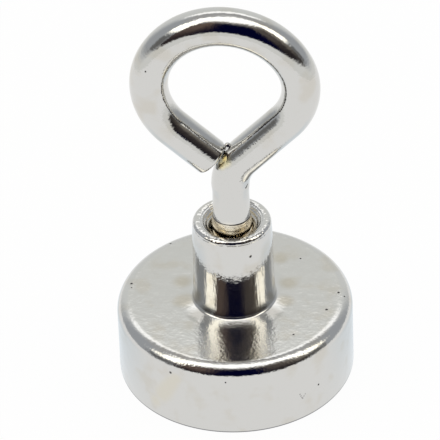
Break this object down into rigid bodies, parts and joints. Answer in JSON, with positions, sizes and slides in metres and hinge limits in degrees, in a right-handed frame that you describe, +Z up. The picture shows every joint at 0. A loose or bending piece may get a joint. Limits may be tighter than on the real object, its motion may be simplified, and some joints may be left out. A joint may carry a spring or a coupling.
{
  "type": "pot magnet",
  "caption": "Small round pot magnet with a drafted threaded boss and a bent wire eye bolt screwed into it, for holding or hanging light things on steel.",
  "frame": {"origin": "centre of the magnetic underside, on the plane of the pot's rim", "axes": "+Z up along the axis of pot, boss and shank; the eye lies in the XZ plane and faces +Y and -Y, its cut end on the -X side"},
  "size_m": [0.02, 0.02, 0.0364],
  "materials": {
    "pot_housing": "bright nickel plate on steel, slightly grainy, a few small pits",
    "disc_magnet": "smooth nickel plate",
    "resin_ring": "cast resin, satin",
    "eye_bolt": "bright nickel plate on bent wire"
  },
  "bodies": {
    "root": {"pot_housing": "pot_housing", "disc_magnet": "disc_magnet", "resin_ring": "resin_ring", "eye_bolt": "eye_bolt"}
  },
  "joints": []
}
